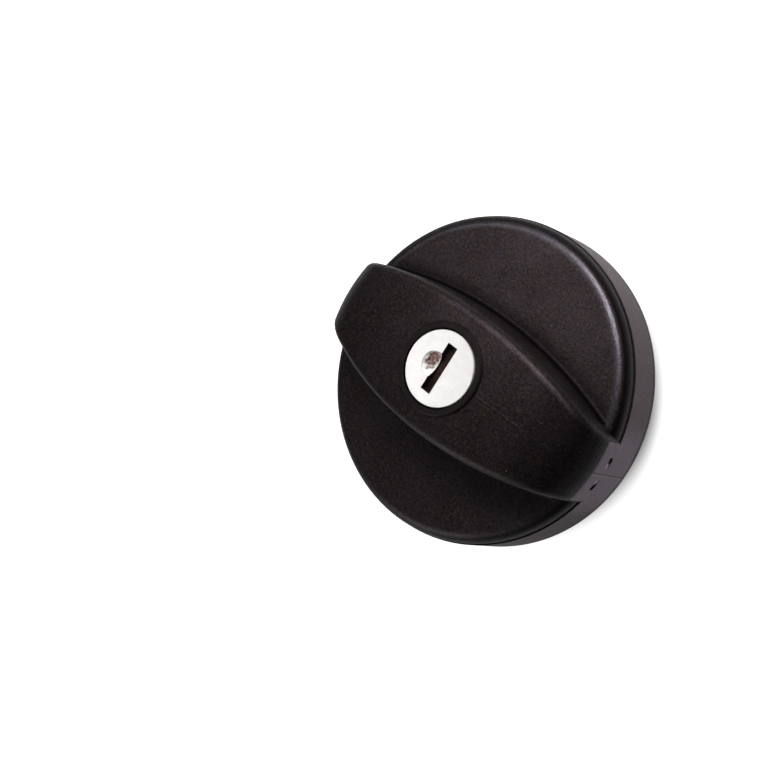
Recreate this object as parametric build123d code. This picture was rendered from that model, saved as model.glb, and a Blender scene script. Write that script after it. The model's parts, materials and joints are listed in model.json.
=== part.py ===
from build123d import *
import math
import os

# Locking fuel filler cap. Millimetres, +Z up, origin on the cap's axis at the foot of its spigot.
# The cover with its grip turns freely round the closure until the key slides the bolt into a pocket.

# ---- Cover: skirt, disc and grip, heights from the skirt's lower edge ----
skirt_radius = 34.0
draft = 1.45
skirt_band = 9.9
texture_step = 0.3
disc_height = 13.9
disc_dome_radius = 900.0
disc_edge_radius = 2.6
disc_edge_lift = 0.02
grip_height = 25.6
grip_dome_radius = 125.0
grip_shoulder_radius = 9.0
grip_half_width = 13.7
grip_end_half_width = 7.2
grip_edge_radius = 1.9
grip_root_radius = 0.8
wall = 2.3
rib_thickness = 1.2
rib_angles = (35, 65, 90, 115, 145)
web_offset = 20.5
mark_length = 2.8
mark_width = 1.6
mark_depth = 0.28
mark_tilt = 13.0
mark_spread = 2.4
mark_height = 10.7

# ---- Lock: radii, and thicknesses down from the lock face ----
plug_radius = 6.3
plug_head_height = 0.6
plug_floor = 1.9
face_radius = 7.64
face_rim = 0.29
face_thickness = 1.5
face_chamfer = 0.12
face_proud = 0.08
bezel_radius = 9.3
bezel_floor_thickness = 1.0
bezel_chamfer = 0.3
sleeve_wall = 1.45
sleeve_pin_radius = 1.0
sleeve_pin_seat = 0.9
boss_wall = 2.4
slot_length = 10.3
slot_width = 2.3
dish_radius = 3.6
dish_depth = 1.2
dish_offset = 1.55
keyway_length = 9.4
clip_thickness = 0.6
clip_rim = 1.3
clip_depth = 0.9

# ---- Wafers ----
wafer_count = 6
wafer_pitch = 2.4
wafer_thickness = 1.1
wafer_width = 6.4
wafer_rail = 1.85
wafer_travel = 0.8
wafer_web = 0.5
tab_reach = 1.7
tab_height = 0.95
tab_level = 0.95
wafer_spring_radius = 0.62
wafer_spring_wire = 0.24
wafer_spring_length = 3.5
wafer_spring_turns = 4
groove_half_angle = 34.0

# ---- Dust shutter ----
shutter_lap = 0.35
shutter_thickness = 0.4
shutter_pin_radius = 0.45
shutter_pin_seat = 0.6
knuckle_wall = 0.3
shutter_coil_wire = 0.22
shutter_coil_turns = 4

# ---- Bolt drive ----
cam_offset = 2.2
cam_pin_radius = 1.3
cam_radius = 6.4
cam_thickness = 2.6
tang_width = 6.0
tang_length = 1.7
bolt_thickness = 2.5
bolt_tip_width = 4.2
bolt_tail = 5.0
plate_thickness = 1.0
screw_count = 3
screw_start = 60.0
screw_radius = 1.2
screw_edge = 0.8
screw_head_radius = 2.3
screw_head_height = 1.4
screw_head_chamfer = 0.5
screw_length = 11.0
screw_tip_room = 1.0
cross_length = 2.6
cross_width = 0.5
pillar_radius = 2.6

# ---- Closure: spigot, flange, lugs, pockets and gasket ----
spigot_radius = 20.0
spigot_wall = 2.0
spigot_chamfer = 0.8
floor_thickness = 2.2
flange_height = 2.2
pocket_count = 12
pocket_depth = 1.8
lug_reach = 3.2
lug_angle = 42.0
lug_height = 2.8
lug_ramp = 1.1
neck_rim = 3.2
gasket_width = 5.0
gasket_thickness = 2.5
gasket_chamfer = 0.5
ring_thickness = 1.0
ring_width = 2.6
ring_groove = 0.6
ring_recess = 0.6

# ---- Vent valve, and its room under the bolt plate ----
vent_hole_radius = 2.6
seat_width = 1.0
seat_height = 0.5
valve_radius = 5.0
valve_thickness = 1.0
valve_stem_radius = 0.9
valve_stem_proud = 0.3
valve_spring_radius = 2.4
valve_spring_wire = 0.4
valve_spring_turns = 3
cage_radius = 6.8
cage_wall = 0.9
cage_height = 5.0
cage_windows = 3
valve_room = 1.63

# ---- Clearances ----
bearing_gap = 0.3
slide_gap = 0.15
turn_gap = 0.1
seat_gap = 0.05
bezel_gap = 0.36
end_gap = 0.5

# ---- How far a cut runs past the face it opens ----
past = 1.0

# ---- Levels worked out upwards from the spigot's foot, through the bolt and lock to the grip ----
valve_z = floor_thickness + seat_height + seat_gap
cage_top = floor_thickness + cage_height
plate_bottom = cage_top + valve_room
plate_top = plate_bottom + plate_thickness
bolt_bottom = plate_top + turn_gap
bolt_top = bolt_bottom + bolt_thickness
cam_bottom = bolt_top + seat_gap
cam_top = cam_bottom + cam_thickness
plug_bottom = cam_top + turn_gap
tang_bottom = plug_bottom - tang_length
housing_top = plug_bottom
clip_z = plug_bottom + 2 * turn_gap
sleeve_bottom = clip_z + clip_thickness + turn_gap
keyway_z = plug_bottom + plug_floor
last_wafer_z = keyway_z + wafer_thickness
first_wafer_z = last_wafer_z + (wafer_count - 1) * wafer_pitch

knuckle_radius = shutter_pin_radius + turn_gap + knuckle_wall
shutter_pin_x = slot_width / 2 + knuckle_radius + turn_gap
shutter_low_x = -slot_width / 2 - shutter_lap
shutter_room_z = first_wafer_z + wafer_thickness / 2 + turn_gap + wafer_web
shutter_pin_z = shutter_room_z + shutter_pin_x - shutter_low_x + 2 * slide_gap
shutter_z = shutter_pin_z + knuckle_radius - shutter_thickness
shutter_length = slot_length - 2 * slide_gap
shutter_pin_length = shutter_length + 2 * shutter_pin_seat

head_top = shutter_z + shutter_thickness + turn_gap
head_bottom = head_top - plug_head_height
bezel_floor = head_bottom - turn_gap
bezel_bottom = bezel_floor - bezel_floor_thickness
sleeve_pin_z = (sleeve_bottom + bezel_bottom) / 2
face_z = head_top + face_thickness
grip_z = face_z - face_proud
skirt_z = grip_z - grip_height
disc_z = skirt_z + disc_height
ring_z = skirt_z + ring_recess
flange_z = ring_z + ring_thickness + bearing_gap
flange_top = flange_z + flange_height
stop_z = flange_top + bearing_gap
lug_bottom = flange_z - gasket_thickness - neck_rim - lug_height
pocket_z = bolt_bottom - 2 * bearing_gap

# ---- Radii and places worked out from the sizes above ----
slope = math.tan(math.radians(draft))
plug_head_radius = face_radius - face_rim
bore_radius = plug_radius + turn_gap
sleeve_radius = bore_radius + sleeve_wall
boss_bore = sleeve_radius + seat_gap
boss_radius = boss_bore + boss_wall
wafer_window_length = keyway_length - turn_gap
wafer_window_width = wafer_width - 2 * wafer_rail
spring_x = wafer_width / 2 + tab_reach / 2
cam_side = cam_offset / math.sqrt(2)
bolt_width = 2 * (cam_offset + cam_pin_radius)
bolt_travel = 2 * cam_side
skirt_inner = skirt_radius - wall - texture_step
flange_radius = skirt_inner - bearing_gap
gasket_bore = spigot_radius + seat_gap
spigot_bore = spigot_radius - spigot_wall
pocket_radius = spigot_bore - pocket_depth
housing_radius = pocket_radius - 2 * bearing_gap
plate_radius = housing_radius - bearing_gap
screw_circle = plate_radius - screw_head_radius - screw_edge
bolt_tip_radius = spigot_bore - end_gap - bolt_travel
bolt_neck_radius = housing_radius - bearing_gap - bolt_travel


def tube(outer, inner, low, high):
    """A round tube between two heights."""
    ring = Circle(outer) - Circle(inner)
    return extrude(Plane.XY.offset(low) * ring, amount=high - low)


def disc(radius, low, high, x=0.0, y=0.0):
    """A round bar between two heights."""
    return extrude(Plane.XY.offset(low) * Pos(x, y) * Circle(radius), amount=high - low)


def block(x_low, x_high, y_low, y_high, z_low, z_high):
    """A square block between two corners."""
    size = (x_high - x_low, y_high - y_low, z_high - z_low)
    middle = ((x_low + x_high) / 2, (y_low + y_high) / 2, (z_low + z_high) / 2)
    return Pos(*middle) * Box(*size)


def bar_x(radius, start, end, z):
    """A round bar along X, between two distances from the axis."""
    return Pos((start + end) / 2, 0, z) * Rot(0, 90, 0) * Cylinder(radius, end - start)


def bar_y(radius, length, x, y, z):
    """A round bar along Y, centred on a point."""
    return Pos(x, y, z) * Rot(90, 0, 0) * Cylinder(radius, length)


def coil(radius, wire, length, turns):
    """A square-wire coil spring along +Z from the origin."""
    path = Helix(pitch=(length - wire) / turns, height=length - wire, radius=radius)
    section = Plane(origin=path @ 0, z_dir=path % 0) * Rectangle(wire, wire)
    return Pos(0, 0, wire / 2) * sweep(section, path=path, is_frenet=True)


def skirt_at(height):
    """Outer radius of the drafted skirt at a height above its lower edge."""
    return skirt_radius - height * slope


def edge_centre(bottom, top, dome_radius, edge_radius, wall_radius):
    """Centre of the round edge that is tangent to a drafted wall and to the dome above it.

    wall_radius is the wall's radius carried down to bottom.
    """
    dome_centre = top - dome_radius
    base = wall_radius + bottom * slope - edge_radius / math.cos(math.radians(draft))
    half = base * slope + dome_centre
    spread = half**2 - (1 + slope**2) * (base**2 + dome_centre**2 - (dome_radius - edge_radius) ** 2)
    edge_z = (half + math.sqrt(spread)) / (1 + slope**2)
    return base - slope * edge_z, edge_z


def edge_arc(centre_r, centre_z, edge_radius, high):
    """Start, middle and end of a round edge, from the drafted wall up to the angle high."""
    low = math.radians(draft)
    points = []
    for angle in (low, (low + high) / 2, high):
        points.append((centre_r + edge_radius * math.cos(angle), centre_z + edge_radius * math.sin(angle)))
    return points


def domed_body(bottom, top, dome_radius, edge_radius, foot, wall_radius):
    """A revolved body: foot's lower points, a drafted wall, a round edge and a shallow dome."""
    centre_r, centre_z = edge_centre(bottom, top, dome_radius, edge_radius, wall_radius)
    dome_centre = top - dome_radius
    arc = edge_arc(centre_r, centre_z, edge_radius, math.atan2(centre_z - dome_centre, centre_r))
    mid_r = arc[-1][0] / 2
    mid = (mid_r, dome_centre + math.sqrt(dome_radius**2 - mid_r**2))
    with BuildSketch(Plane.XZ) as profile:
        with BuildLine():
            Polyline((0, bottom), *foot, arc[0])
            ThreePointArc(*arc)
            ThreePointArc(arc[-1], mid, (0, top))
            Line((0, top), (0, bottom))
        make_face()
    return revolve(profile.sketch, Axis.Z)


def disc_rim():
    """Skirt and round rim of the disc, open above so that the grip's root runs out over the rim."""
    step_r = skirt_at(skirt_band)
    upper_radius = skirt_radius - texture_step
    centre_r, centre_z = edge_centre(skirt_z, disc_z, disc_dome_radius, disc_edge_radius, upper_radius)
    arc = edge_arc(
        centre_r - disc_edge_lift * slope, centre_z + disc_edge_lift, disc_edge_radius, math.pi / 2
    )
    with BuildSketch(Plane.XZ) as profile:
        with BuildLine():
            Polyline(
                (0, skirt_z),
                (skirt_radius, skirt_z),
                (step_r, skirt_z + skirt_band),
                (step_r - texture_step, skirt_z + skirt_band),
                arc[0],
            )
            ThreePointArc(*arc)
            Polyline(arc[-1], (0, grip_z), (0, skirt_z))
        make_face()
    return revolve(profile.sketch, Axis.Z)


def lens(half_width, end_half_width, end_radius):
    """The grip's plan: two arcs that meet the end radius at the stated half width."""
    half_length = math.sqrt(end_radius**2 - end_half_width**2)
    sagitta = half_width - end_half_width
    side_radius = (half_length**2 + sagitta**2) / (2 * sagitta)
    offset = side_radius - half_width
    return (Pos(0, -offset) * Circle(side_radius)) & (Pos(0, offset) * Circle(side_radius))


def screw_places():
    """Centres of the housing screws."""
    places = []
    for k in range(screw_count):
        turn = math.radians(screw_start + 360 / screw_count * k)
        places.append((screw_circle * math.cos(turn), screw_circle * math.sin(turn)))
    return places


def cover_outside():
    """Skirt, domed disc and the grip that crosses it."""
    start = skirt_band - disc_edge_radius - grip_root_radius
    low = skirt_z + start
    end_r = skirt_at(start)
    plan = lens(grip_half_width, grip_end_half_width, end_r)
    bar = extrude(Plane.XY.offset(low) * plan, amount=grip_height, taper=draft)
    blank = disc(skirt_radius + wall, skirt_z, disc_z + past)
    blank &= Pos(0, 0, disc_z - disc_dome_radius) * Sphere(disc_dome_radius)
    blank += bar
    on_disc = [e for e in blank.edges() if abs(e.center().Z - disc_z) < grip_root_radius]
    roots = [e for e in on_disc if grip_half_width / 2 < abs(e.center().Y) < grip_half_width]
    blank = fillet(roots, grip_root_radius) & disc_rim()
    bar &= domed_body(low, grip_z, grip_dome_radius, grip_shoulder_radius, [(end_r, low)], end_r)
    sides = [e for e in bar.edges() if abs(e.center().Y) > grip_end_half_width / 2]
    return blank + fillet([e for e in sides if e.center().Z > skirt_z + skirt_band], grip_edge_radius)


def cover_cavity():
    """The space under the disc and inside the grip."""
    roof = disc_z - wall
    low = roof - wall
    inner_end = skirt_radius - 2 * wall
    plan = lens(grip_half_width - wall, grip_end_half_width - wall, inner_end)
    bar = extrude(Plane.XY.offset(low) * plan, amount=grip_height, taper=draft)
    dome_radius = grip_dome_radius - wall
    shoulder = grip_shoulder_radius - wall
    bar &= domed_body(low, grip_z - wall, dome_radius, shoulder, [(inner_end, low)], inner_end)
    return disc(skirt_inner, skirt_z - past, roof) + bar


def cover_ribs(envelope):
    """Lock boss, screw pillars, radial stop ribs under the disc and webs across the grip."""
    ribs = disc(boss_radius, housing_top, grip_z)
    ribs += disc(bezel_radius + wall, bezel_bottom - wall, grip_z)
    for x, y in screw_places():
        ribs += disc(pillar_radius, housing_top, grip_z, x, y)
    half = rib_thickness / 2
    housing_room = disc(housing_radius + seat_gap, 0, housing_top)
    rib = block(boss_radius, skirt_radius - wall / 2, -half, half, stop_z, disc_z - wall / 2)
    rib -= housing_room
    for angle in rib_angles:
        ribs += Rot(0, 0, angle) * rib
        ribs += Rot(0, 0, angle + 180) * rib
    span = grip_half_width - wall / 2
    web = block(-half, half, -span, span, stop_z, grip_z)
    for x in (-web_offset, web_offset):
        ribs += Pos(x, 0) * web
    return ribs & envelope


def end_marks():
    """Two shallow oblong marks on each end of the grip, each cut deeper towards its outer end."""
    pad = extrude(SlotOverall(mark_length, mark_width), amount=mark_depth, both=True)
    marks = []
    for end in (0, 180):
        for side in (-1, 1):
            place = Pos(skirt_at(mark_height), side * mark_spread, skirt_z + mark_height)
            turned = Rot(0, 0, side * mark_tilt) * Rot(0, 90, 0) * Rot(0, 0, 90) * pad
            marks.append(Rot(0, 0, end) * place * turned)
    return marks


def cap_cover():
    """The moulded cover with its lock bore, bezel recess, snap ring groove and screw pilots."""
    outside = cover_outside()
    cover = outside - cover_cavity()
    cover += cover_ribs(outside)
    cover -= disc(boss_bore, 0, grip_z + past)
    cover -= disc(bezel_radius + seat_gap, bezel_bottom - seat_gap, grip_z + past)
    groove = skirt_inner + ring_groove
    cover -= tube(groove, skirt_inner - past, ring_z - seat_gap, ring_z + ring_thickness + seat_gap)
    for x, y in screw_places():
        cover -= disc(screw_radius, 0, plate_bottom + screw_length + screw_tip_room, x, y)
    cover -= bar_x(sleeve_pin_radius, sleeve_radius, boss_radius + past, sleeve_pin_z)
    return cover - end_marks()


def retaining_ring():
    """Split snap ring that holds the closure's flange inside the skirt."""
    outer = skirt_inner + ring_groove - seat_gap
    top = ring_z + ring_thickness
    ring = tube(outer, outer - ring_width, ring_z, top)
    return ring - block(0, skirt_radius, -ring_width, ring_width, ring_z - past, top + past)


def groove_sector(inner, outer):
    """Plan of one wafer groove, round the +Y axis."""
    half = math.radians(groove_half_angle)
    x = 2 * outer * math.sin(half)
    y = 2 * outer * math.cos(half)
    return (Circle(outer) - Circle(inner)) & Polygon((0, 0), (x, y), (-x, y), align=None)


def lock_sleeve():
    """Die-cast lock barrel with its black bezel and the wafer grooves."""
    sleeve = disc(bezel_radius, bezel_bottom, face_z + face_proud)
    sleeve = chamfer(sleeve.edges().group_by(Axis.Z)[-1], bezel_chamfer)
    sleeve += disc(sleeve_radius, sleeve_bottom, bezel_bottom)
    sleeve -= disc(bore_radius, sleeve_bottom - past, face_z + past)
    sleeve -= disc(face_radius + bezel_gap, bezel_floor, face_z + past)
    sector = groove_sector(plug_radius, bore_radius + wafer_travel + slide_gap)
    low = last_wafer_z - wafer_thickness
    high = first_wafer_z + wafer_thickness
    for turn in (0, 90, 180, 270):
        sleeve -= Rot(0, 0, turn) * extrude(Plane.XY.offset(low) * sector, amount=high - low)
    return sleeve - bar_x(sleeve_pin_radius, sleeve_radius - sleeve_pin_seat, boss_radius, sleeve_pin_z)


def sleeve_pin():
    """Pin through the boss into the sleeve."""
    return bar_x(sleeve_pin_radius, sleeve_radius - sleeve_pin_seat, boss_radius, sleeve_pin_z)


def wafer_z(index):
    """Middle height of a wafer."""
    return first_wafer_z - index * wafer_pitch


def facing(index):
    """Half a turn for every second wafer."""
    return Rot(0, 0, 180 * (index % 2))


def wafer(index):
    """A wafer with its key window and its spring tab, resting at the shear line."""
    low = wafer_z(index) - wafer_thickness / 2
    high = low + wafer_thickness
    half = wafer_width / 2
    plate = block(-half, half, -plug_radius, plug_radius, low, high)
    plate += block(0, half + tab_reach, tab_level, tab_level + tab_height, low, high)
    x = wafer_window_width / 2
    y = wafer_window_length / 2
    plate -= block(-x, x, -y, y, low - past, high + past)
    return facing(index) * (plate & disc(plug_radius - turn_gap, low, high))


def wafer_spring(index):
    """The coil spring under a wafer's tab."""
    spring = coil(wafer_spring_radius, wafer_spring_wire, wafer_spring_length, wafer_spring_turns)
    place = Pos(spring_x, tab_level - wafer_spring_length, wafer_z(index)) * Rot(-90, 0, 0)
    return facing(index) * (place * spring)


def wafer_room(index):
    """The slot for a wafer, with the side pocket for its tab and spring."""
    low = wafer_z(index) - wafer_thickness / 2 - turn_gap
    high = low + wafer_thickness + 2 * turn_gap
    half = wafer_width / 2 + turn_gap
    reach = plug_radius + past
    room = block(-half, half, -reach, reach, low, high)
    floor = tab_level - wafer_spring_length - turn_gap
    room += block(0, half + tab_reach, floor, reach, low, high)
    depth = tab_level - floor
    well_radius = wafer_spring_radius + wafer_spring_wire / 2 + turn_gap
    room += bar_y(well_radius, depth, spring_x, floor + depth / 2, wafer_z(index))
    return facing(index) * room


def lock_plug():
    """The turning plug with keyway, wafer slots, shutter pocket, clip groove and tang."""
    plug = disc(plug_radius, plug_bottom, head_bottom)
    plug += disc(plug_head_radius, head_bottom, head_top)
    tang = tang_width / 2
    plug += block(-tang, tang, -tang, tang, tang_bottom, plug_bottom)
    key_x = slot_width / 2
    key_y = keyway_length / 2
    plug -= block(-key_x, key_x, -key_y, key_y, keyway_z, face_z)
    for index in range(wafer_count):
        plug -= wafer_room(index)
    shutter_y = shutter_length / 2 + slide_gap
    high_x = shutter_pin_x + knuckle_radius + slide_gap
    low_x = shutter_low_x - slide_gap
    plug -= block(low_x, high_x, -shutter_y, shutter_y, shutter_room_z, face_z)
    plug -= bar_y(shutter_pin_radius, shutter_pin_length, shutter_pin_x, 0, shutter_pin_z)
    clip_top = clip_z + clip_thickness + seat_gap
    return plug - tube(plug_radius + past, plug_radius - clip_depth, clip_z - seat_gap, clip_top)


def dust_shutter():
    """Sprung flap behind the key slot, with a knuckle at each end of its pin."""
    half = shutter_length / 2
    flap_top = shutter_z + shutter_thickness
    flap = block(shutter_low_x, shutter_pin_x, -half, half, shutter_z, flap_top)
    notch_x = shutter_pin_x - knuckle_radius - slide_gap
    notch_y = half / 2 - slide_gap
    flap -= block(notch_x, shutter_pin_x + past, -notch_y, notch_y, shutter_z - past, head_top)
    for side in (-1, 1):
        flap += bar_y(knuckle_radius, half / 2, shutter_pin_x, side * (half - half / 4), shutter_pin_z)
    bore = shutter_pin_radius + turn_gap
    return flap - bar_y(bore, shutter_length + past, shutter_pin_x, 0, shutter_pin_z)


def shutter_pin():
    """Hinge pin of the shutter, across the plug's head."""
    return bar_y(shutter_pin_radius, shutter_pin_length, shutter_pin_x, 0, shutter_pin_z)


def shutter_spring():
    """Torsion coil round the shutter pin, between the knuckles."""
    length = shutter_length / 2 - 4 * slide_gap
    radius = shutter_pin_radius + seat_gap + shutter_coil_wire / 2
    spring = coil(radius, shutter_coil_wire, length, shutter_coil_turns)
    return Pos(shutter_pin_x, length / 2, shutter_pin_z) * Rot(90, 0, 0) * spring


def face_cap():
    """Turned stainless face with the key slot and the dished relief beside it."""
    cap = disc(face_radius, head_bottom, face_z)
    cap = chamfer(cap.edges().group_by(Axis.Z)[-1], face_chamfer)
    cap -= disc(plug_head_radius, head_bottom - past, head_top)
    x = slot_width / 2
    y = slot_length / 2
    cap -= block(-x, x, -y, y, head_top - past, face_z + past)
    return cap - Pos(-dish_offset, 0, face_z + dish_radius - dish_depth) * Sphere(dish_radius)


def plug_clip():
    """Open circlip that keeps the plug in its sleeve."""
    inner = plug_radius - clip_depth + seat_gap
    top = clip_z + clip_thickness
    clip = tube(plug_radius + clip_rim, inner, clip_z, top)
    mouth = inner / 2
    return clip - block(0, 2 * plug_radius, -mouth, mouth, clip_z - past, top + past)


def driver_cam():
    """Cam on the plug's tang with the eccentric pin that moves the bolt."""
    cam = disc(cam_radius, cam_bottom, cam_top)
    tang = tang_width / 2 + seat_gap
    cam -= block(-tang, tang, -tang, tang, tang_bottom - seat_gap, cam_top + past)
    return cam + disc(cam_pin_radius, bolt_bottom, cam_bottom, -cam_side, -cam_side)


def locking_bolt():
    """Sliding bolt with the cross slot for the cam pin, drawn back at rest."""
    half = bolt_width / 2
    bolt = block(-bolt_tail, bolt_neck_radius, -half, half, bolt_bottom, bolt_top)
    tip = bolt_tip_width / 2
    bolt += block(0, bolt_tip_radius, -tip, tip, bolt_bottom, bolt_top)
    slot = cam_pin_radius + slide_gap
    low_y = -half - past
    high_y = slot - cam_side
    low_z = bolt_bottom - past
    return bolt - block(-cam_side - slot, slot - cam_side, low_y, high_y, low_z, bolt_top + past)


def screw_holes():
    """The screw holes through housing and plate."""
    return [disc(screw_radius + seat_gap, 0, housing_top + past, x, y) for x, y in screw_places()]


def bolt_housing():
    """Moulded disc under the lock boss that carries the cam and guides the bolt."""
    housing = disc(housing_radius, bolt_bottom - turn_gap, housing_top)
    housing -= disc(cam_radius + slide_gap, cam_bottom - turn_gap, housing_top + past)
    half = bolt_width / 2 + slide_gap
    back = bolt_tail + bearing_gap
    housing -= block(-back, housing_radius + past, -half, half, bolt_bottom - past, cam_bottom)
    return housing - screw_holes()


def bolt_plate():
    """Steel plate that closes the housing from below."""
    return disc(plate_radius, plate_bottom, plate_top) - screw_holes()


def housing_screws():
    """The screws up through plate and housing into the cover's pillars."""
    head_z = plate_bottom - screw_head_height
    head = disc(screw_head_radius, head_z, plate_bottom)
    head = chamfer(head.edges().group_by(Axis.Z)[0], screw_head_chamfer)
    x = cross_length / 2
    y = cross_width / 2
    cross_top = plate_bottom - screw_head_height / 2
    head -= block(-x, x, -y, y, head_z - past, cross_top)
    head -= block(-y, y, -x, x, head_z - past, cross_top)
    screw = head + disc(screw_radius, plate_bottom, plate_bottom + screw_length)
    return Compound(children=[Pos(x, y) * screw for x, y in screw_places()])


def bayonet_lug():
    """One lug round the spigot, with a sloped upper face that draws the gasket down."""
    inner = spigot_radius - spigot_wall / 2
    outer = spigot_radius + lug_reach
    top = lug_bottom + lug_height
    profile = Plane.XZ * Polygon(
        (inner, lug_bottom - lug_ramp),
        (spigot_radius, lug_bottom - lug_ramp),
        (outer, lug_bottom),
        (outer, top - lug_ramp / 2),
        (spigot_radius, top),
        (inner, top),
        align=None,
    )
    return Rot(0, 0, -lug_angle / 2) * revolve(profile, Axis.Z, revolution_arc=lug_angle)


def closure_body():
    """Moulded closure: spigot with floor, flange, bolt pockets, bayonet lugs and vent seat."""
    body = tube(spigot_radius, spigot_bore, 0, flange_top) + disc(spigot_radius, 0, floor_thickness)
    body = chamfer(body.edges().group_by(Axis.Z)[0], spigot_chamfer)
    body += tube(flange_radius, spigot_bore, flange_z, flange_top)
    rim = tube(spigot_bore, pocket_radius, pocket_z, flange_top)
    half = bolt_tip_width / 2 + end_gap
    pocket = block(0, spigot_radius, -half, half, pocket_z - past, flange_top + past)
    for k in range(pocket_count):
        rim -= Rot(0, 0, 360 / pocket_count * k) * pocket
    body += rim
    body += disc(vent_hole_radius + seat_width, floor_thickness, floor_thickness + seat_height)
    for side in (90, 270):
        body += Rot(0, 0, side) * bayonet_lug()
    return body - disc(vent_hole_radius, -past, floor_thickness + seat_height + past)


def neck_gasket():
    """Rubber ring under the flange that seals on the filler neck."""
    ring = tube(gasket_bore + gasket_width, gasket_bore, flange_z - gasket_thickness, flange_z)
    return chamfer(ring.edges().group_by(Axis.Z)[0], gasket_chamfer)


def valve_disc():
    """Vent valve plate with its guide stem."""
    plate = disc(valve_radius, valve_z, valve_z + valve_thickness)
    return plate + disc(valve_stem_radius, valve_z, cage_top + valve_stem_proud)


def valve_spring():
    """Coil spring that holds the vent valve on its seat."""
    low = valve_z + valve_thickness
    length = cage_top - cage_wall - low
    return Pos(0, 0, low) * coil(valve_spring_radius, valve_spring_wire, length, valve_spring_turns)


def valve_cage():
    """Cage staked to the floor that holds the valve spring and guides the stem."""
    cage = tube(cage_radius, cage_radius - cage_wall, floor_thickness, cage_top)
    cage += disc(cage_radius, cage_top - cage_wall, cage_top)
    cage -= disc(valve_stem_radius + slide_gap, floor_thickness, cage_top + past)
    half = cage_radius / 3
    window = block(0, 2 * cage_radius, -half, half, floor_thickness + cage_wall, cage_top - cage_wall)
    for k in range(cage_windows):
        cage -= Rot(0, 0, 360 / cage_windows * k) * window
    return cage


def build():
    """All nodes by name."""
    nodes = {
        "cap_cover": cap_cover(),
        "retaining_ring": retaining_ring(),
        "lock_sleeve": lock_sleeve(),
        "sleeve_pin": sleeve_pin(),
        "bolt_housing": bolt_housing(),
        "bolt_plate": bolt_plate(),
        "housing_screws": housing_screws(),
        "lock_plug": lock_plug(),
        "face_cap": face_cap(),
        "plug_clip": plug_clip(),
        "driver_cam": driver_cam(),
        "shutter_pin": shutter_pin(),
        "shutter_spring": shutter_spring(),
        "dust_shutter": dust_shutter(),
        "locking_bolt": locking_bolt(),
        "closure_body": closure_body(),
        "neck_gasket": neck_gasket(),
        "valve_disc": valve_disc(),
        "valve_spring": valve_spring(),
        "valve_cage": valve_cage(),
    }
    for index in range(wafer_count):
        nodes[f"wafer_{index + 1}"] = wafer(index)
        nodes[f"wafer_spring_{index + 1}"] = wafer_spring(index)
    return nodes


os.makedirs("parts", exist_ok=True)
for name, shape in build().items():
    export_step(shape, f"parts/{name}.step")
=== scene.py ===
import json
import math
from types import SimpleNamespace

import bpy
from mathutils import Matrix, Vector


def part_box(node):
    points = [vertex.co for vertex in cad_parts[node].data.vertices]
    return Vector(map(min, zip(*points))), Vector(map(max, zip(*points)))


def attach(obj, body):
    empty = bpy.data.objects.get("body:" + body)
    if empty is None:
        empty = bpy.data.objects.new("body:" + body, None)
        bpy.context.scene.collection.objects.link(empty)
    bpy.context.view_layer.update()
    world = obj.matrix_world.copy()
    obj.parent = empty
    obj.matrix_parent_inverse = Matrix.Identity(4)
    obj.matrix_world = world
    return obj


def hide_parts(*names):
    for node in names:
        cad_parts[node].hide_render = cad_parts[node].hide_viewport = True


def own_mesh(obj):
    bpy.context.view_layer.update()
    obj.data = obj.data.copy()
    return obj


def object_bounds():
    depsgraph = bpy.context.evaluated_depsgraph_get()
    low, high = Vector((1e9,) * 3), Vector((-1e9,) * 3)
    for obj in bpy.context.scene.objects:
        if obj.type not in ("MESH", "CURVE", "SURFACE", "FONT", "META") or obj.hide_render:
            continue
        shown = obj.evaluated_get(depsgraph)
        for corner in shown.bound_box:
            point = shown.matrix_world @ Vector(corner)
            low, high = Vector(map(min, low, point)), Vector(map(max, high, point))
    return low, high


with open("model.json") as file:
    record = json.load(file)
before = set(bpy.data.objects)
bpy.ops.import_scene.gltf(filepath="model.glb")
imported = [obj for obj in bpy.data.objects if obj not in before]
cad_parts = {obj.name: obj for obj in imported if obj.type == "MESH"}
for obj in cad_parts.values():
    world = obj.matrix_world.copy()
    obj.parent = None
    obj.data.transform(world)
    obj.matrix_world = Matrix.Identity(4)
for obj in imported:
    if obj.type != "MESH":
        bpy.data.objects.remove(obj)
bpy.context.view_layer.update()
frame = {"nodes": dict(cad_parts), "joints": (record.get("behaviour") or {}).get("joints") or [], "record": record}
NODES = frame["nodes"]
NODE_BODY = {node: body for body, nodes in frame["record"]["behaviour"]["bodies"].items() for node in nodes}

# ---- Sizes taken from the frame, in metres ----
MM = 0.001
COVER_LOW, COVER_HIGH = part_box("cap_cover")
SKIRT_Z = COVER_LOW.z
SKIRT_RADIUS = COVER_HIGH.x
FACE_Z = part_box("face_cap")[1].z
FLOOR_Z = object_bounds()[0][2]

# ---- The cover's form: draft and disc as in the part's source, and an arc close to the grip's +y side, with
# its centre that far on the -y side ----
SKIRT_SLOPE = math.tan(math.radians(1.45))
DISC_HEIGHT = 13.9 * MM
DISC_DOME_RADIUS = 900.0 * MM
GRIP_SIDE_RADIUS = 85.5 * MM
GRIP_SIDE_CENTRE = 71.8 * MM


def span(low, high):
    """Where a zone starts and ends, given in millimetres."""
    return low * MM, high * MM


# ---- Small helpers for node trees ----
def tree_of(name):
    """A new material, its tree and its shader."""
    mat = bpy.data.materials.new(name)
    mat.use_nodes = True
    tree = mat.node_tree
    tree.nodes.clear()
    out = tree.nodes.new("ShaderNodeOutputMaterial")
    shader = tree.nodes.new("ShaderNodeBsdfPrincipled")
    tree.links.new(shader.outputs["BSDF"], out.inputs["Surface"])
    return mat, tree, shader


def put(tree, socket, value):
    """Links a socket to a node's output, or sets it."""
    if isinstance(value, bpy.types.NodeSocket):
        tree.links.new(value, socket)
    else:
        socket.default_value = value


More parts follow.
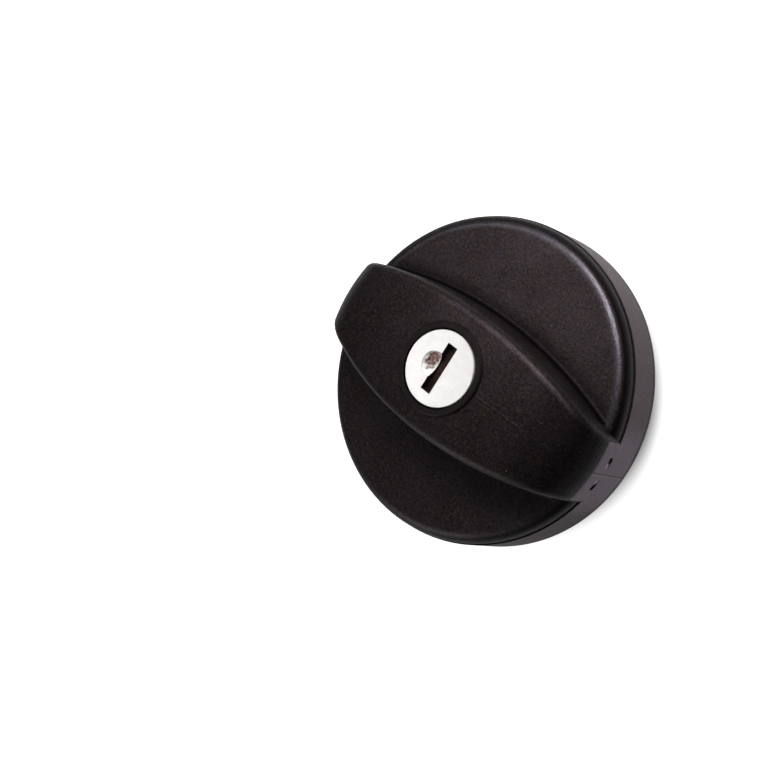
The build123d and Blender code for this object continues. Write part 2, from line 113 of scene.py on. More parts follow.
def calc(tree, operation, a, b=0.0):
    """One Math node."""
    node = tree.nodes.new("ShaderNodeMath")
    node.operation = operation
    put(tree, node.inputs[0], a)
    put(tree, node.inputs[1], b)
    return node.outputs[0]


def times(tree, first, *others):
    """The product of values."""
    for other in others:
        first = calc(tree, "MULTIPLY", first, other)
    return first


def plus(tree, first, *others):
    """The sum of values."""
    for other in others:
        first = calc(tree, "ADD", first, other)
    return first


def less(tree, a, b):
    """a less b."""
    return calc(tree, "SUBTRACT", a, b)


def most(tree, first, *others):
    """The largest of values."""
    for other in others:
        first = calc(tree, "MAXIMUM", first, other)
    return first


def unsigned(tree, value):
    """A value without its sign."""
    return calc(tree, "ABSOLUTE", value)


def square_sum(tree, a, b):
    """a squared plus b squared."""
    return plus(tree, times(tree, a, a), times(tree, b, b))


def ramp(tree, value, limits, low=0.0, high=1.0):
    """Smooth step from low to high between two limits."""
    node = tree.nodes.new("ShaderNodeMapRange")
    node.interpolation_type = "SMOOTHSTEP"
    for socket, entry in zip(node.inputs, (value, *limits, low, high)):
        put(tree, socket, entry)
    return node.outputs[0]


def fall(tree, value, limits, top=1.0):
    """Smooth step down to 0 between two limits."""
    return ramp(tree, value, limits, top, 0.0)


def mix(tree, factor, a, b):
    """A colour between a and b."""
    node = tree.nodes.new("ShaderNodeMix")
    node.data_type = "RGBA"
    put(tree, node.inputs[0], factor)
    put(tree, node.inputs[6], a if isinstance(a, bpy.types.NodeSocket) else (*a, 1.0))
    put(tree, node.inputs[7], b if isinstance(b, bpy.types.NodeSocket) else (*b, 1.0))
    return node.outputs[2]


def place(tree):
    """The point in the row frame, and its x, y and z."""
    coord = tree.nodes.new("ShaderNodeTexCoord")
    split = tree.nodes.new("ShaderNodeSeparateXYZ")
    tree.links.new(coord.outputs["Object"], split.inputs[0])
    return coord.outputs["Object"], split.outputs[0], split.outputs[1], split.outputs[2]


def noise(tree, point, size, detail=2.0, rough=0.5):
    """Noise with features of about that size, in metres."""
    node = tree.nodes.new("ShaderNodeTexNoise")
    tree.links.new(point, node.inputs["Vector"])
    node.inputs["Scale"].default_value = 1.0 / size
    node.inputs["Detail"].default_value = detail
    node.inputs["Roughness"].default_value = rough
    return node.outputs["Fac"]


def vector_calc(tree, operation, point, fixed):
    """One Vector Math node whose second vector is fixed."""
    node = tree.nodes.new("ShaderNodeVectorMath")
    node.operation = operation
    tree.links.new(point, node.inputs[0])
    node.inputs[1].default_value = fixed
    return node.outputs


def bump(tree, height, distance, strength=1.0, normal=None):
    """A bump of that depth, in metres."""
    node = tree.nodes.new("ShaderNodeBump")
    node.inputs["Distance"].default_value = distance
    put(tree, node.inputs["Strength"], strength)
    tree.links.new(height, node.inputs["Height"])
    if normal is not None:
        tree.links.new(normal, node.inputs["Normal"])
    return node.outputs[0]


# ---- Zones of the cover's plastic. Heights are over the skirt's lower edge, depths are inwards from the
# skirt's wall, and levels are above the disc. ----
END_X = span(31.0, 31.5)
END_MIDDLE_Y = span(6.0, 12.0)
SMOOTH_HEIGHT = span(14.9, 15.3)
SMOOTH_DEPTH = span(0.10, 0.16)
FOOT_HEIGHT = span(0.9, 1.3)
MARK_Y = span(4.3, 4.5)
MARK_BOTTOM = span(8.4, 8.6)
MARK_TOP = span(12.8, 13.0)
MARK_SHALLOW_DEPTH = span(0.02, 0.05)
MARK_DEEP_DEPTH = span(0.18, 0.22)
EDGE_DEPTH = span(0.9, 1.7)
EDGE_HEIGHT = span(9.8, 10.0)
ROOT_BOTTOM = span(0.015, 0.05)
ROOT_TOP = span(0.9, 3.2)
RIDGE_OUTER_DEPTH = span(1.4, 1.9)
RIDGE_INNER_DEPTH = span(2.4, 3.4)
RIDGE_LEVEL = span(0.0, 0.3)
RIDGE_Y = span(-22.0, 4.0)
RIDGE_HIGHLIGHT_FAR_SHARE = 0.15
SHADE_WIDTH = span(0.4, 3.8)
SHADE_SHARE = 0.65
SHADE_Y = span(3.0, 6.0)
SHADE_LEVEL = span(0.3, 1.0)
SHOULDER_X = span(17.0, 25.0)
SHOULDER_SHADE_SHARE = 0.5
SHOULDER_LEVEL = span(1.0, 2.5)


def cover_zones(tree):
    """The cover's zones, each a mask from 0 to 1, with the measures that they come from."""
    point, x, y, z = place(tree)
    square = square_sum(tree, x, y)
    height = less(tree, z, SKIRT_Z)
    wall = less(tree, SKIRT_RADIUS, times(tree, height, SKIRT_SLOPE))
    depth = less(tree, wall, calc(tree, "SQRT", square))
    sag = calc(tree, "DIVIDE", square, 2 * DISC_DOME_RADIUS)
    level = plus(tree, less(tree, height, DISC_HEIGHT), sag)
    across = unsigned(tree, y)
    end = ramp(tree, unsigned(tree, x), END_X)
    lit_end_middle = times(tree, end, fall(tree, across, END_MIDDLE_Y))

    # The marks in the grip's ends are sunk into the wall, so the smooth zone takes them in.
    mark = times(tree, end, fall(tree, across, MARK_Y), ramp(tree, height, MARK_BOTTOM))
    mark = times(tree, mark, fall(tree, height, MARK_TOP))
    on_wall = most(tree, fall(tree, depth, SMOOTH_DEPTH), mark)
    smooth = times(tree, on_wall, fall(tree, height, SMOOTH_HEIGHT))

    # Painted shade: the round edge above the skirt and the root of the grip are darkened, in colour and in
    # reflections.
    edge = times(tree, fall(tree, depth, EDGE_DEPTH), ramp(tree, height, EDGE_HEIGHT))
    root = times(tree, ramp(tree, level, ROOT_BOTTOM), fall(tree, level, ROOT_TOP))
    edge_root_shade = times(tree, most(tree, edge, root), less(tree, 1.0, smooth))

    # The ridge where the disc turns over into its edge gets a painted highlight, most on its +y side: a brighter
    # tint and level in its reflections, and less roughness.
    ridge = times(tree, ramp(tree, depth, RIDGE_OUTER_DEPTH), fall(tree, depth, RIDGE_INNER_DEPTH))
    ridge = times(tree, ridge, fall(tree, level, RIDGE_LEVEL), ramp(tree, y, RIDGE_Y, RIDGE_HIGHLIGHT_FAR_SHARE))

    # Painted shade: soft shade on the disc along the grip's +y side, and shade on the shoulder at the grip's +x
    # end.
    from_centre = square_sum(tree, x, plus(tree, y, GRIP_SIDE_CENTRE))
    away = less(tree, calc(tree, "SQRT", from_centre), GRIP_SIDE_RADIUS)
    shade = times(tree, fall(tree, away, SHADE_WIDTH, SHADE_SHARE), ramp(tree, y, SHADE_Y))
    shade = times(tree, shade, fall(tree, level, SHADE_LEVEL))
    shoulder_shade = ramp(tree, x, SHOULDER_X, 0.0, SHOULDER_SHADE_SHARE)
    shoulder_shade = times(tree, shoulder_shade, ramp(tree, level, SHOULDER_LEVEL))

    return SimpleNamespace(
        point=point,
        x=x,
        y=y,
        height=height,
        level=level,
        across=across,
        end=end,
        lit_end_middle=lit_end_middle,
        smooth=smooth,
        # Painted light in the marks: a highlight on their shallow ends and shade on their deep floors.
        shallow_mark_highlight=times(tree, mark, ramp(tree, depth, MARK_SHALLOW_DEPTH)),
        deep_mark_shade=times(tree, mark, ramp(tree, depth, MARK_DEEP_DEPTH)),
        edge_root_shade=edge_root_shade,
        ridge=ridge,
        shade=most(tree, shade, shoulder_shade),
    )


# ---- Noises of the cover: size, detail and roughness. Limits say between which values of the noise its
# effect grows or fades, and a share is the most that it does. ----
GRAIN = (0.34 * MM, 3.0, 0.7)
GRAIN_LIMITS = (0.35, 0.75)
PITS = (0.95 * MM, 2.0, 0.5)
PITS_SHARE = 0.6
SPECKLE = (0.42 * MM, 2.0, 0.6)
SPECKLE_LIMITS = (0.46, 0.70)
HOLLOWS = (0.50 * MM, 2.0, 0.6)
HOLLOWS_LIMITS = (0.36, 0.56)
HOLLOWS_SHARE = 0.50
HUE = (0.6 * MM, 2.0, 0.6)
HUE_LIMITS = (0.40, 0.62)
FLECKS = (0.7 * MM, 1.0, 0.4)
FLECKS_LIMITS = (0.79, 0.83)
FLECKS_SHARE = 0.5
BLOTCH = (3.2 * MM, 3.0, 0.6)
BLOTCH_LIMITS = (0.38, 0.62)
BLOTCH_SHARE = 0.6
CLOUD = (9.0 * MM, 3.0, 0.55)
CLOUD_MATT_LIMITS = (0.35, 0.7)
CLOUD_MATT_SHARE = 0.45
CLOUD_SATIN_LIMITS = (0.3, 0.75)
CLOUD_SHINE_LIMITS = (0.40, 0.60)
CLOUD_SHINE_SHARE = 0.22


def cover_noises(tree, point):
    """The noises that more than one part of the cover's material uses."""
    return SimpleNamespace(
        grain=noise(tree, point, *GRAIN),
        cloud=noise(tree, point, *CLOUD),
        blotch=ramp(tree, noise(tree, point, *BLOTCH), BLOTCH_LIMITS),
    )


# ---- Colours of the cover: matt where it is spark-eroded, satin where it is smooth ----
BLACK_AND_SHADE = (0.002, 0.0016, 0.002)
MATT_DARK = (0.0008, 0.0006, 0.0006)
MATT_LIGHT = (0.021, 0.014, 0.012)
MATT_CLOUD = (0.0022, 0.0016, 0.0022)
MATT_EDGE_ROOT_SHADE_SHARE = 0.8
FLECK_COLOUR = (0.16, 0.12, 0.09)
SATIN_DARK = (0.042, 0.025, 0.036)
SATIN_LIGHT = (0.054, 0.032, 0.046)
SATIN_BROWN = (0.054, 0.033, 0.029)
SATIN_LIT_END = (0.078, 0.046, 0.080)
PALE_LINE_AND_MARK_HIGHLIGHT = (0.34, 0.25, 0.33)
DARK_LINE_Y = 0.08 * MM
DARK_LINE_WIDTH = span(0.09, 0.19)
PALE_LINE_Y = -0.24 * MM
PALE_LINE_WIDTH = span(0.08, 0.20)
PALE_LINE_SHARE = 0.4


def end_line(tree, zone, y, width):
    """A line down the smooth wall at the grip's ends."""
    line = fall(tree, unsigned(tree, less(tree, zone.y, y)), width)
    return times(tree, line, zone.end, zone.smooth)


def cover_black_and_shade(tree, zone):
    """Where the cover takes its darkest colour: painted shade on its foot and on the floors of the marks, and the
    seam's dark line at the ends.
    """
    dark_line = end_line(tree, zone, DARK_LINE_Y, DARK_LINE_WIDTH)
    return most(tree, fall(tree, zone.height, FOOT_HEIGHT), dark_line, zone.deep_mark_shade)


def cover_colour(tree, zone, noises, black_and_shade):
    """The cover's base colour."""
    speckle = ramp(tree, noise(tree, zone.point, *SPECKLE), SPECKLE_LIMITS)
    clouds = ramp(tree, noises.cloud, CLOUD_MATT_LIMITS, 0.0, CLOUD_MATT_SHARE)
    flecks = ramp(tree, noise(tree, zone.point, *FLECKS), FLECKS_LIMITS, 0.0, FLECKS_SHARE)
    matt = mix(tree, speckle, MATT_DARK, MATT_LIGHT)
    matt = mix(tree, clouds, matt, MATT_CLOUD)
    # Painted shade: the round edge, the grip's root, the disc along the grip and the grip's shoulder are darkened.
    matt = mix(tree, times(tree, zone.edge_root_shade, MATT_EDGE_ROOT_SHADE_SHARE), matt, MATT_DARK)
    matt = mix(tree, zone.shade, matt, MATT_DARK)
    matt = mix(tree, flecks, matt, FLECK_COLOUR)

    # The pale line beside the seam, and a painted highlight on the shallow ends of the marks.
    pale_line = end_line(tree, zone, PALE_LINE_Y, PALE_LINE_WIDTH)
    pale = most(tree, times(tree, pale_line, PALE_LINE_SHARE), zone.shallow_mark_highlight)
    satin = mix(tree, ramp(tree, noises.cloud, CLOUD_SATIN_LIMITS), SATIN_DARK, SATIN_LIGHT)
    satin = mix(tree, times(tree, noises.blotch, BLOTCH_SHARE), satin, SATIN_BROWN)
    # Painted light: the middles of the grip's ends are coloured lighter than the skirt, as a lit copy of the same
    # smooth plastic.
    satin = mix(tree, zone.lit_end_middle, satin, SATIN_LIT_END)
    satin = mix(tree, pale, satin, PALE_LINE_AND_MARK_HIGHLIGHT)
    # The foot and the floors of the marks take the darkest colour as painted shade; the seam's line takes it as
    # its own.
    return mix(tree, black_and_shade, mix(tree, zone.smooth, matt, satin), BLACK_AND_SHADE)


# ---- Shine of the cover: the tint of its reflections, their level and the roughness ----
SHINE_COOL = (0.78, 0.65, 0.82)
SHINE_WARM = (1.0, 0.75, 0.67)
SHINE_HOLLOWS = (0.18, 0.13, 0.15)
# The tint that the clouds dull reflections to at random, and that painted shade darkens them to.
SHINE_DULL_AND_SHADE = (0.10, 0.07, 0.08)
SHINE_EDGE_ROOT_SHADE_SHARE = 0.85
SHINE_RIDGE_HIGHLIGHT = (0.93, 0.86, 1.0)
SHINE_RIDGE_HIGHLIGHT_HOLLOWS = (0.46, 0.40, 0.54)
SHINE_SHADED_SKIRT = (0.55, 0.38, 0.56)
SHINE_SHADED_SKIRT_BROWN = (0.34, 0.22, 0.20)
SHINE_LIT_END = (1.0, 0.80, 0.98)
SHINE_BLACK_AND_SHADE = (0.05, 0.04, 0.05)
GRIP_TOP_LEVEL = span(4.0, 8.0)
GRIP_TOP_SHADE_SHARE = 0.12
REFLECTION = 0.5
RIDGE_HIGHLIGHT_REFLECTION = 0.3
SHADED_SKIRT_REFLECTION = -0.2
MATT_ROUGHNESS = (0.42, 0.60)
SMOOTH_ROUGHNESS = -0.06
RIDGE_ROUGHNESS = -0.12


def cover_tint(tree, zone, noises, black_and_shade):
    """The tint of the cover's reflections."""
    hollows = fall(tree, noise(tree, zone.point, *HOLLOWS), HOLLOWS_LIMITS, HOLLOWS_SHARE)
    # Painted shade on the grip's top: its reflections are darkened towards the top.
    grip_top_shade = ramp(tree, zone.level, GRIP_TOP_LEVEL, 0.0, GRIP_TOP_SHADE_SHARE)
    clouds = fall(tree, noises.cloud, CLOUD_SHINE_LIMITS, CLOUD_SHINE_SHARE)
    tint = mix(tree, ramp(tree, noise(tree, zone.point, *HUE), HUE_LIMITS), SHINE_COOL, SHINE_WARM)
    tint = mix(tree, hollows, tint, SHINE_HOLLOWS)
    # Painted shade darkens the reflections on the grip's top, along the grip and on its shoulder; the clouds dull
    # them at random.
    for share in (grip_top_shade, clouds, zone.shade):
        tint = mix(tree, share, tint, SHINE_DULL_AND_SHADE)
    # Painted highlight: the ridge's reflections are tinted brighter.
    tint = mix(tree, zone.ridge, tint, mix(tree, hollows, SHINE_RIDGE_HIGHLIGHT, SHINE_RIDGE_HIGHLIGHT_HOLLOWS))
    # Painted shade takes the reflections off the round edge and the grip's root.
    tint = mix(tree, times(tree, zone.edge_root_shade, SHINE_EDGE_ROOT_SHADE_SHARE), tint, SHINE_DULL_AND_SHADE)
    # Painted shade on the skirt: its reflections are tinted darker than those of the grip's ends.
    skirt = mix(tree, noises.blotch, SHINE_SHADED_SKIRT, SHINE_SHADED_SKIRT_BROWN)
    tint = mix(tree, zone.smooth, tint, mix(tree, zone.lit_end_middle, skirt, SHINE_LIT_END))
    # Painted shade: the foot and the floors of the marks lose their reflections too.
    return mix(tree, black_and_shade, tint, SHINE_BLACK_AND_SHADE)


def cover_reflection(tree, zone):
    """The level of the cover's reflections: more on the ridge as a painted highlight, less on the skirt than on
    the grip's ends as painted shade.
    """
    skirt = times(tree, zone.smooth, less(tree, 1.0, zone.lit_end_middle))
    ridge_highlight_part = times(tree, zone.ridge, RIDGE_HIGHLIGHT_REFLECTION)
    return plus(tree, REFLECTION, ridge_highlight_part, times(tree, skirt, SHADED_SKIRT_REFLECTION))


def cover_roughness(tree, zone, noises):
    """The cover's roughness: less where it is smooth and on the ridge."""
    matt = ramp(tree, noises.grain, GRAIN_LIMITS, *MATT_ROUGHNESS)
    smooth_part = times(tree, zone.smooth, SMOOTH_ROUGHNESS)
    return plus(tree, matt, smooth_part, times(tree, zone.ridge, RIDGE_ROUGHNESS))


# ---- Relief of the cover's surface: its grain, and the mould's seam along the grip ----
GRAIN_DEPTH = 0.05 * MM
GRAIN_ON_MATT = 0.95
GRAIN_EVERYWHERE = 0.02
SEAM_DEPTH = 0.05 * MM
SEAM_STRENGTH = 0.8
SEAM_WIDTH = span(0.12, 0.26)
SEAM_START_X = span(8.0, 9.5)
SEAM_FADE_X = span(27.0, 31.0)
SEAM_TOP_SHARE = 0.5


def cover_relief(tree, zone, noises):
    """The cover's normal."""
    pits = noise(tree, zone.point, *PITS)
    grain = plus(tree, noises.grain, times(tree, pits, PITS_SHARE))
    strength = plus(tree, times(tree, less(tree, 1.0, zone.smooth), GRAIN_ON_MATT), GRAIN_EVERYWHERE)
    on_top = times(tree, ramp(tree, zone.x, SEAM_START_X), fall(tree, zone.x, SEAM_FADE_X, SEAM_TOP_SHARE))
    seam = times(tree, fall(tree, zone.across, SEAM_WIDTH), most(tree, zone.end, on_top))
    normal = bump(tree, grain, GRAIN_DEPTH, strength)
    return bump(tree, seam, SEAM_DEPTH, SEAM_STRENGTH, normal)


def cover_plastic():
    """The cover's plastic: spark-eroded above the skirt's line, smooth below it and on the grip's ends."""
    mat, tree, shader = tree_of("cover_plastic")
    zone = cover_zones(tree)
    noises = cover_noises(tree, zone.point)
    black_and_shade = cover_black_and_shade(tree, zone)
    for name, value in {
        "Base Color": cover_colour(tree, zone, noises, black_and_shade),
        "Specular Tint": cover_tint(tree, zone, noises, black_and_shade),
        "Specular IOR Level": cover_reflection(tree, zone),
        "Roughness": cover_roughness(tree, zone, noises),
        "Normal": cover_relief(tree, zone, noises),
    }.items():
        tree.links.new(value, shader.inputs[name])
    return mat


# ---- Plain plastics, rubber and metals ----
CLOUD_TO_GRAIN = 6
PLASTIC_CLOUD_LIMITS = (0.3, 0.7)
PLASTIC_GRAIN_LIMITS = (0.2, 0.8)
PLASTIC_SPREAD = 0.06
METAL_STAIN = (1.6 * MM, 3.0, 0.6)
METAL_MARKS_SHARE = 0.4
METAL_SHADE_LIMITS = (0.35, 0.65)
METAL_MARKS_LIMITS = (0.25, 0.75)
TURNED_STRETCH = 0.2


def plain_plastic(name, dark, light, rough, size, depth, tint=(1.0, 1.0, 1.0)):
    """Moulded plastic or rubber with a faint grain."""
    mat, tree, shader = tree_of(name)
    shader.inputs["Specular Tint"].default_value = (*tint, 1.0)
    point = place(tree)[0]
    cloud = ramp(tree, noise(tree, point, CLOUD_TO_GRAIN * size, detail=3.0), PLASTIC_CLOUD_LIMITS)
    grain = noise(tree, point, size)
    spread = ramp(tree, grain, PLASTIC_GRAIN_LIMITS, rough - PLASTIC_SPREAD, rough + PLASTIC_SPREAD)
    tree.links.new(mix(tree, cloud, dark, light), shader.inputs["Base Color"])
    tree.links.new(spread, shader.inputs["Roughness"])
    tree.links.new(bump(tree, grain, depth), shader.inputs["Normal"])
    return mat


def metal(name, dark, light, rough, size, depth, metallic=0.8, turned=False, spread=0.07):
    """Metal with fine marks, turned round the axis where that is how it was cut."""
    mat, tree, shader = tree_of(name)
    point, x, y, z = place(tree)
    shader.inputs["Metallic"].default_value = metallic
    cut = point
    if turned:
        join = tree.nodes.new("ShaderNodeCombineXYZ")
        put(tree, join.inputs[0], calc(tree, "SQRT", square_sum(tree, x, y)))
        put(tree, join.inputs[1], times(tree, z, TURNED_STRETCH))
        cut = join.outputs[0]
    marks = noise(tree, cut, size, detail=3.0, rough=0.6)
    stain = noise(tree, point, *METAL_STAIN)
    shade = plus(tree, times(tree, marks, METAL_MARKS_SHARE), times(tree, stain, 1.0 - METAL_MARKS_SHARE))
    roughness = ramp(tree, marks, METAL_MARKS_LIMITS, rough - spread, rough + spread)
    colour = mix(tree, ramp(tree, shade, METAL_SHADE_LIMITS), dark, light)
    tree.links.new(colour, shader.inputs["Base Color"])
    tree.links.new(roughness, shader.inputs["Roughness"])
    tree.links.new(bump(tree, marks, depth), shader.inputs["Normal"])
    return mat


# ---- Lock face: half the key slot with its rim painted dark as shade, the dish beside it and a brown reflection painted in the dish ----
SLOT_HALF_WIDTH = span(1.17, 1.23)
SLOT_HALF_LENGTH = span(5.17, 5.23)
SLOT_SHADE_COLOUR = (0.03, 0.02, 0.018)
DISH_CENTRE = (-1.55 * MM, 0.0, FACE_Z)
DISH_RADIUS = span(2.4, 2.7)
DISH_ROUGHNESS = 0.3
BROWN_REFLECTION_CENTRE = (-2.3 * MM, 0.35 * MM, FACE_Z)
BROWN_REFLECTION_STRETCH = (1.0, 0.7, 1.0)
BROWN_REFLECTION_RADIUS = span(1.9, 2.6)
BROWN_REFLECTION_EDGE = (0.8 * MM, 2.0, 0.5)
BROWN_REFLECTION_EDGE_WIDTH = 1.4 * MM
BROWN_REFLECTION_MOTTLE = (0.6 * MM, 1.0, 0.5)
BROWN_REFLECTION_MOTTLE_LIMITS = (0.4, 0.6)
BROWN_REFLECTION_DARK = (0.06, 0.028, 0.022)
BROWN_REFLECTION_LIGHT = (0.26, 0.15, 0.12)
FACE_METALLIC = 0.55


def lock_face():
    """Brushed stainless cap with painted shade in the key slot, and a frosted dish with a painted brown
    reflection.
    """
    mat = metal(
        "stainless",
        dark=(0.86, 0.83, 0.82),
        light=(0.95, 0.93, 0.92),
        rough=0.225,
        size=0.12 * MM,
        depth=0.0004 * MM,
        metallic=FACE_METALLIC,
        turned=True,
        spread=0.015,
    )
    tree = mat.node_tree
    shader = next(node for node in tree.nodes if node.type == "BSDF_PRINCIPLED")
    steel = shader.inputs["Base Color"].links[0].from_socket
    even = shader.inputs["Roughness"].links[0].from_socket
    point, x, y = place(tree)[:3]
    dish = fall(tree, vector_calc(tree, "DISTANCE", point, DISH_CENTRE)["Value"], DISH_RADIUS)
    # Painted reflection: a brown patch in the dish, mottled and with a ragged edge.
    stretched = vector_calc(tree, "MULTIPLY", point, BROWN_REFLECTION_STRETCH)["Vector"]
    from_brown_reflection = vector_calc(tree, "DISTANCE", stretched, BROWN_REFLECTION_CENTRE)["Value"]
    ragged = times(tree, noise(tree, point, *BROWN_REFLECTION_EDGE), BROWN_REFLECTION_EDGE_WIDTH)
    brown_reflection = times(tree, fall(tree, plus(tree, from_brown_reflection, ragged), BROWN_REFLECTION_RADIUS), dish)
    mottle = ramp(tree, noise(tree, point, *BROWN_REFLECTION_MOTTLE), BROWN_REFLECTION_MOTTLE_LIMITS)
    # Painted shade: the walls of the key slot are darkened and lose their metal.
    slot = fall(tree, unsigned(tree, x), SLOT_HALF_WIDTH)
    slot = times(tree, slot, fall(tree, unsigned(tree, y), SLOT_HALF_LENGTH))
    colour = mix(tree, brown_reflection, steel, mix(tree, mottle, BROWN_REFLECTION_DARK, BROWN_REFLECTION_LIGHT))
    metallic = times(tree, less(tree, 1.0, most(tree, dish, slot)), FACE_METALLIC)
    roughness = plus(tree, even, times(tree, dish, DISH_ROUGHNESS))
    tree.links.new(mix(tree, slot, colour, SLOT_SHADE_COLOUR), shader.inputs["Base Color"])
    tree.links.new(metallic, shader.inputs["Metallic"])
    tree.links.new(roughness, shader.inputs["Roughness"])
    return mat


# ---- The materials and what wears them ----
COVER = cover_plastic()
BEZEL = plain_plastic(
    "bezel_black",
    dark=(0.003, 0.002, 0.002),
    light=(0.007, 0.005, 0.005),
    rough=0.46,
    size=0.5 * MM,
    depth=0.012 * MM,
    tint=(0.44, 0.34, 0.36),
)
CLOSURE = plain_plastic(
    "closure_plastic",
    dark=(0.018, 0.017, 0.018),
    light=(0.032, 0.030, 0.031),
    rough=0.42,
    size=0.6 * MM,
    depth=0.006 * MM,
)
NYLON = plain_plastic(
    "housing_plastic",
    dark=(0.52, 0.49, 0.42),
    light=(0.66, 0.63, 0.56),
    rough=0.45,
    size=0.6 * MM,
    depth=0.006 * MM,
)
RUBBER = plain_plastic(
    "gasket_rubber",
    dark=(0.012, 0.012, 0.012),
    light=(0.026, 0.025, 0.025),
    rough=0.68,
    size=0.35 * MM,
    depth=0.012 * MM,
)
STAINLESS = lock_face()
# Zinc of the lock coloured dark, as painted shade in the key slot.
ZINC_DARKENED_AS_SHADE = metal(
    "zinc",
    dark=(0.07, 0.06, 0.06),
    light=(0.16, 0.14, 0.135),
    rough=0.45,
    size=0.5 * MM,
    depth=0.01 * MM,
)
BRASS = metal(
    "brass",
    dark=(0.52, 0.36, 0.13),
    light=(0.74, 0.56, 0.25),
    rough=0.33,
    size=0.4 * MM,
    depth=0.004 * MM,
)
SPRING = metal(
    "spring_steel",
    dark=(0.38, 0.38, 0.40),
    light=(0.58, 0.58, 0.60),
    rough=0.30,
    size=0.3 * MM,
    depth=0.003 * MM,
)
BLACKENED = metal(
    "blackened_steel",
    dark=(0.018, 0.009, 0.007),
    light=(0.045, 0.026, 0.020),
    rough=0.48,
    size=0.4 * MM,
    depth=0.004 * MM,
)
PLATED = metal(
    "plated_steel",
    dark=(0.50, 0.48, 0.40),
    light=(0.70, 0.67, 0.58),
    rough=0.32,
    size=0.6 * MM,
    depth=0.004 * MM,
)
DRESS = {
    COVER: ["cap_cover"],
    BEZEL: ["lock_sleeve"],
    STAINLESS: ["face_cap"],
    ZINC_DARKENED_AS_SHADE: ["lock_plug", "driver_cam"],
    BLACKENED: ["dust_shutter"],
    SPRING: ["retaining_ring", "sleeve_pin", "plug_clip", "shutter_pin", "shutter_spring", "valve_spring"],
    PLATED: ["bolt_plate", "housing_screws", "locking_bolt"],
    CLOSURE: ["closure_body"],
    NYLON: ["bolt_housing", "valve_cage"],
    RUBBER: ["neck_gasket", "valve_disc"],
}


def dress(node, mat):
    """Gives a CAD node its material."""
    mesh = NODES[node].data
    mesh.materials.clear()
    mesh.materials.append(mat)


def dress_all():
    """Gives every CAD node its material."""
    for mat, names in DRESS.items():
        for name in names:
            dress(name, mat)
    for name in NODES:
        if name.startswith("wafer_spring_"):
            dress(name, SPRING)
        elif name.startswith("wafer_"):
            dress(name, BRASS)


dress_all()


# ---- Coil springs: copies of the CAD coils that their joints scale, each on its body in place of the CAD coil ----
def short_coil(entry):
    """A copy of one CAD coil, on its body in place of the CAD coil; its axis and fixed end are worked out but not
    used.
    """
    node = entry["node"]
    letter = entry["mode"][-1]
    along = "xyz".index(letter)
    axis, anchor = [0.0, 0.0, 0.0], [0.0, 0.0, 0.0]
    axis[along] = 1.0
    anchor[along] = entry[f"fixed_end_{letter}_m"]
    obj = bpy.data.objects.new(f"{node}_coil", NODES[node].data.copy())
    bpy.context.scene.collection.objects.link(obj)
    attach(obj, NODE_BODY[node])
    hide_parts(node)
    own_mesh(obj)


for joint in frame["joints"]:
    for entry in joint.get("deforming_nodes") or []:
        if entry["mode"].startswith("scale_"):
            short_coil(entry)


# ---- Floor ----
FLOOR_HALF = 1.6
FLOOR_GREY = (0.66, 0.66, 0.66)
FLOOR_SEEN_GREY = (0.5, 0.5, 0.5)
FLOOR_MIRRORED = 0.18
# Where the floor's glow fades out towards the cap, painting a shadow ring over the real shadow.
SHADOW_RADIUS = (0.81 * SKIRT_RADIUS, 1.0 * SKIRT_RADIUS)
WHITE = (1.0, 1.0, 1.0, 1.0)


def floor_paper():
    """Pale paper that the camera sees as white far from the cap; its glow fades out near the cap, a painted shadow
    ring over the cap's real shadow; a little brighter in reflections.
    """
    mat, tree, shader = tree_of("floor_paper")
    path = tree.nodes.new("ShaderNodeLightPath")
    seen = path.outputs["Is Camera Ray"]
    x, y = place(tree)[1:3]
    glow_beyond_painted_shadow = ramp(tree, calc(tree, "SQRT", square_sum(tree, x, y)), SHADOW_RADIUS)
    mirrored = times(tree, path.outputs["Is Glossy Ray"], FLOOR_MIRRORED)
    tree.links.new(mix(tree, seen, FLOOR_GREY, FLOOR_SEEN_GREY), shader.inputs["Base Color"])
    shader.inputs["Roughness"].default_value = 1.0
    shader.inputs["Specular IOR Level"].default_value = 0.0
    shader.inputs["Emission Color"].default_value = WHITE
    tree.links.new(plus(tree, times(tree, seen, glow_beyond_painted_shadow), mirrored), shader.inputs["Emission Strength"])
    return mat


def floor():
    """The floor under the cap."""
    mesh = bpy.data.meshes.new("floor")
    corners = [
        (-FLOOR_HALF, -FLOOR_HALF, FLOOR_Z),
        (FLOOR_HALF, -FLOOR_HALF, FLOOR_Z),
        (FLOOR_HALF, FLOOR_HALF, FLOOR_Z),
        (-FLOOR_HALF, FLOOR_HALF, FLOOR_Z),
    ]
    mesh.from_pydata(corners, [], [(0, 1, 2, 3)])
    mesh.materials.append(floor_paper())
    obj = bpy.data.objects.new("floor", mesh)
    bpy.context.scene.collection.objects.link(obj)


floor()


# ---- Light ----
AMBIENT = 0.05
LAMP_AIM = Vector((0.0, 0.0, 0.025))


def towards(azimuth, elevation):
    """The unit vector from the cap towards a place in the studio, from angles in degrees."""
    a, e = math.radians(azimuth), math.radians(elevation)
    return Vector((math.cos(e) * math.cos(a), math.cos(e) * math.sin(a), math.sin(e)))


def backdrop():
    """A white world behind the scene that lights it only faintly."""
    world = bpy.data.worlds.new("studio")
    bpy.context.scene.world = world
    world.use_nodes = True
    tree = world.node_tree
    background = tree.nodes["Background"]
    background.inputs["Color"].default_value = WHITE
    seen = tree.nodes.new("ShaderNodeLightPath").outputs["Is Camera Ray"]
    put(tree, background.inputs["Strength"], ramp(tree, seen, (0.0, 1.0), AMBIENT, 1.0))


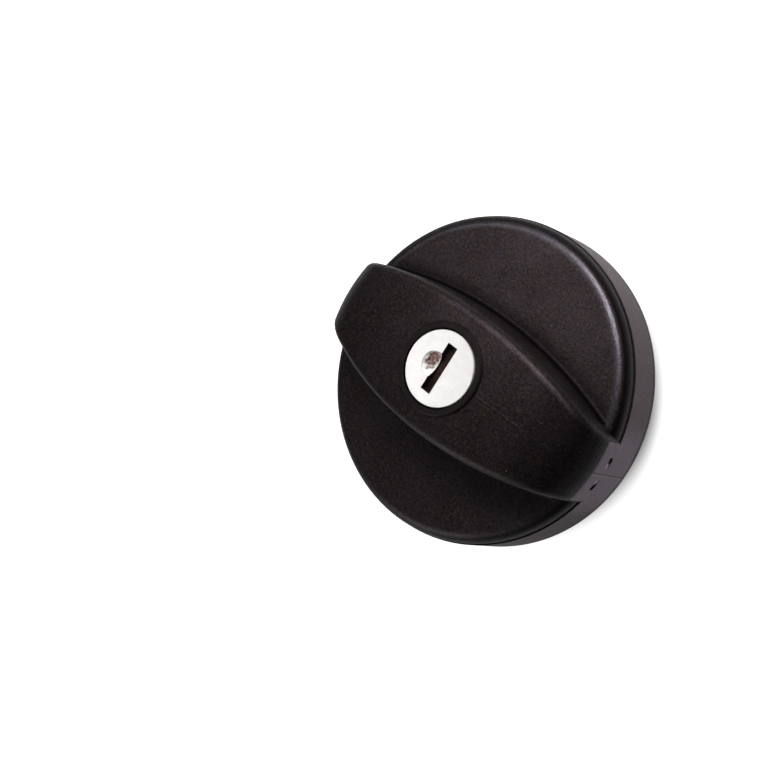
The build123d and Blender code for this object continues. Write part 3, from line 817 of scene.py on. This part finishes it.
def lamp(name, azimuth, elevation, distance, side, power):
    """A soft square lamp aimed at the cap."""
    data = bpy.data.lights.new(name, "AREA")
    data.shape = "SQUARE"
    data.size = side
    data.energy = power
    obj = bpy.data.objects.new(name, data)
    bpy.context.scene.collection.objects.link(obj)
    away = towards(azimuth, elevation)
    obj.location = LAMP_AIM + away * distance
    obj.rotation_euler = away.to_track_quat("Z", "Y").to_euler()


backdrop()
lamp("softbox_back", azimuth=203.0, elevation=57.0, distance=0.60, side=0.13, power=0.085)
lamp("softbox_key", azimuth=90.0, elevation=50.0, distance=0.25, side=0.08, power=0.58)
lamp("softbox_fill", azimuth=145.0, elevation=56.0, distance=0.20, side=0.07, power=0.10)
lamp("softbox_left", azimuth=262.0, elevation=22.0, distance=0.50, side=0.20, power=0.6)

# ---- Camera: the photograph's view, fitted to its outlines and placed from the middle of the skirt's lower
# edge ----
CAMERA_AZIMUTH = 22.999
CAMERA_ELEVATION = 56.812
CAMERA_ROLL = -77.625
CAMERA_DISTANCE = 246.177 * MM
CAMERA_RIGHT = 24.488 * MM
CAMERA_UP = -0.208 * MM
CAMERA_NEAREST = 0.01
FOCAL_PIXELS = 1166.995
IMAGE_PIXELS = 766
SENSOR = 36.0


def camera():
    """The camera at the photograph's view."""
    back = towards(CAMERA_AZIMUTH, CAMERA_ELEVATION)
    roll = math.radians(CAMERA_ROLL)
    level = (-back).cross(Vector((0, 0, 1))).normalized()
    rise = level.cross(-back)
    right = math.cos(roll) * level + math.sin(roll) * rise
    up = math.cos(roll) * rise - math.sin(roll) * level
    data = bpy.data.cameras.new("camera")
    data.sensor_width = SENSOR
    data.lens = FOCAL_PIXELS / IMAGE_PIXELS * SENSOR
    data.clip_start = CAMERA_NEAREST
    obj = bpy.data.objects.new("camera", data)
    bpy.context.scene.collection.objects.link(obj)
    where = Vector((0, 0, SKIRT_Z)) + back * CAMERA_DISTANCE - right * CAMERA_RIGHT - up * CAMERA_UP
    turn = Matrix((right, up, back)).transposed().to_4x4()
    obj.matrix_world = Matrix.Translation(where) @ turn
    bpy.context.scene.camera = obj


camera()
bpy.context.scene.view_settings.view_transform = "Standard"
